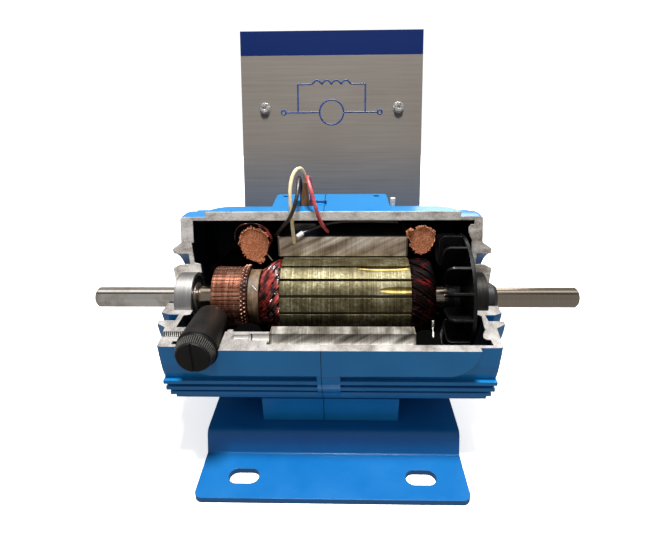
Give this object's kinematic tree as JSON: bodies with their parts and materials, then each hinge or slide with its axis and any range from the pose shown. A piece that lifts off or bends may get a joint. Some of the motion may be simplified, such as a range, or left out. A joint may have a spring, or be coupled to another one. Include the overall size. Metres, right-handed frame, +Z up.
{
  "type": "demonstration electric motor",
  "caption": "Cutaway direct-current motor on a bent sheet base with a sign plate behind it, opened to show the armature, commutator, field coils, bearings and fan.",
  "frame": {"origin": "on the ground under the middle of the base, at the centre of its four slots", "axes": "+X along the shaft toward the fan end, +Y from the open side toward the sign plate, +Z up"},
  "size_m": [0.3294, 0.2373, 0.2574],
  "materials": {
    "blue_paint": "gloss blue paint over cast aluminium, bare saw-cut faces",
    "blue_sheet": "gloss blue paint over bent sheet",
    "lamination": "bare electrical sheet, edges visible",
    "armature_steel": "yellowish lacquered electrical sheet",
    "insulation": "pressboard",
    "copper_coil": "cut copper wire ends with dark lacquered tape",
    "red_winding": "red lacquered copper wire",
    "commutator_copper": "copper bars",
    "bakelite": "black bakelite",
    "brass_sleeve": "bare brass",
    "carbon": "pressed carbon",
    "bright_steel": "ground steel",
    "bearing_steel": "polished bearing steel",
    "black_rubber": "black seal",
    "fan_plastic": "black moulded plastic",
    "band_cord": "lacquered binding cord",
    "sign_face": "brushed sheet with a printed face",
    "zinc": "zinc plated",
    "cream_wire": "cream insulation",
    "red_wire": "red insulation",
    "black_wire": "black insulation",
    "white_plastic": "white ferrule",
    "brown_board": "brown insulating board"
  },
  "bodies": {
    "frame": {"base_plate": "blue_sheet", "base_screws": "zinc", "housing_left": "blue_paint", "housing_right": "blue_paint", "stator_core": "lamination", "stator_end_plate_left": "insulation", "stator_end_plate_right": "insulation", "field_coil_upper": "copper_coil", "field_coil_lower": "copper_coil", "stator_bolt": "zinc", "bearing_outer_left": "bearing_steel", "bearing_outer_right": "bearing_steel", "bearing_seal_left": "black_rubber", "bearing_seal_right": "black_rubber", "preload_washer": "bright_steel", "brush_holder_front": "bakelite", "brush_holder_rear": "bakelite", "brush_sleeve_front": "brass_sleeve", "brush_sleeve_rear": "brass_sleeve", "brush_cap_front": "bakelite", "brush_cap_rear": "bakelite", "brush_spring_front": "bright_steel", "brush_spring_rear": "bright_steel", "sign_plate": "sign_face", "sign_bracket": "blue_sheet", "sign_screws": "zinc", "sign_washers": "zinc", "sign_nuts": "zinc", "bracket_screws": "zinc", "lead_cream": "cream_wire", "lead_red": "red_wire", "lead_black": "black_wire", "lead_ferruled": "black_wire", "ferrule": "white_plastic", "insulating_strip": "brown_board", "side_screw": "zinc"},
    "rotor": {"shaft": "bright_steel", "shaft_collar": "black_rubber", "armature_core": "armature_steel", "armature_winding": "red_winding", "slot_wedges": "brown_board", "commutator_bars": "commutator_copper", "commutator_hub": "bakelite", "binding_band": "band_cord", "fan": "fan_plastic", "bearing_inner_left": "bearing_steel", "bearing_inner_right": "bearing_steel"},
    "cage_left": {"bearing_balls_left": "bearing_steel", "bearing_cage_left": "bright_steel"},
    "cage_right": {"bearing_balls_right": "bearing_steel", "bearing_cage_right": "bright_steel"},
    "brush_front": {"brush_front": "carbon"},
    "brush_rear": {"brush_rear": "carbon"}
  },
  "joints": [
    {"name": "rotor_spin", "type": "hinge", "parent": "frame", "child": "rotor", "pos_m": [0, 0, 0.089], "axis": [1, 0, 0], "continuous": true},
    {"name": "cage_left_spin", "type": "hinge", "parent": "frame", "child": "cage_left", "pos_m": [-0.0991, 0, 0.089], "axis": [1, 0, 0], "continuous": true},
    {"name": "cage_right_spin", "type": "hinge", "parent": "frame", "child": "cage_right", "pos_m": [0.0959, 0, 0.089], "axis": [1, 0, 0], "continuous": true},
    {"name": "brush_front_slide", "type": "slide", "parent": "frame", "child": "brush_front", "axis": [0, -1, 0], "range_m": [0, 0.003], "stiffness_N_per_m": 300, "springref_m": -0.004, "deforming": ["brush_spring_front"]},
    {"name": "brush_rear_slide", "type": "slide", "parent": "frame", "child": "brush_rear", "axis": [0, 1, 0], "range_m": [0, 0.003], "stiffness_N_per_m": 300, "springref_m": -0.004, "deforming": ["brush_spring_rear"]}
  ],
  "couplings": [
    {"joint": "cage_left_spin", "follows": "rotor_spin", "ratio": 0.3812},
    {"joint": "cage_right_spin", "follows": "rotor_spin", "ratio": 0.3812}
  ]
}
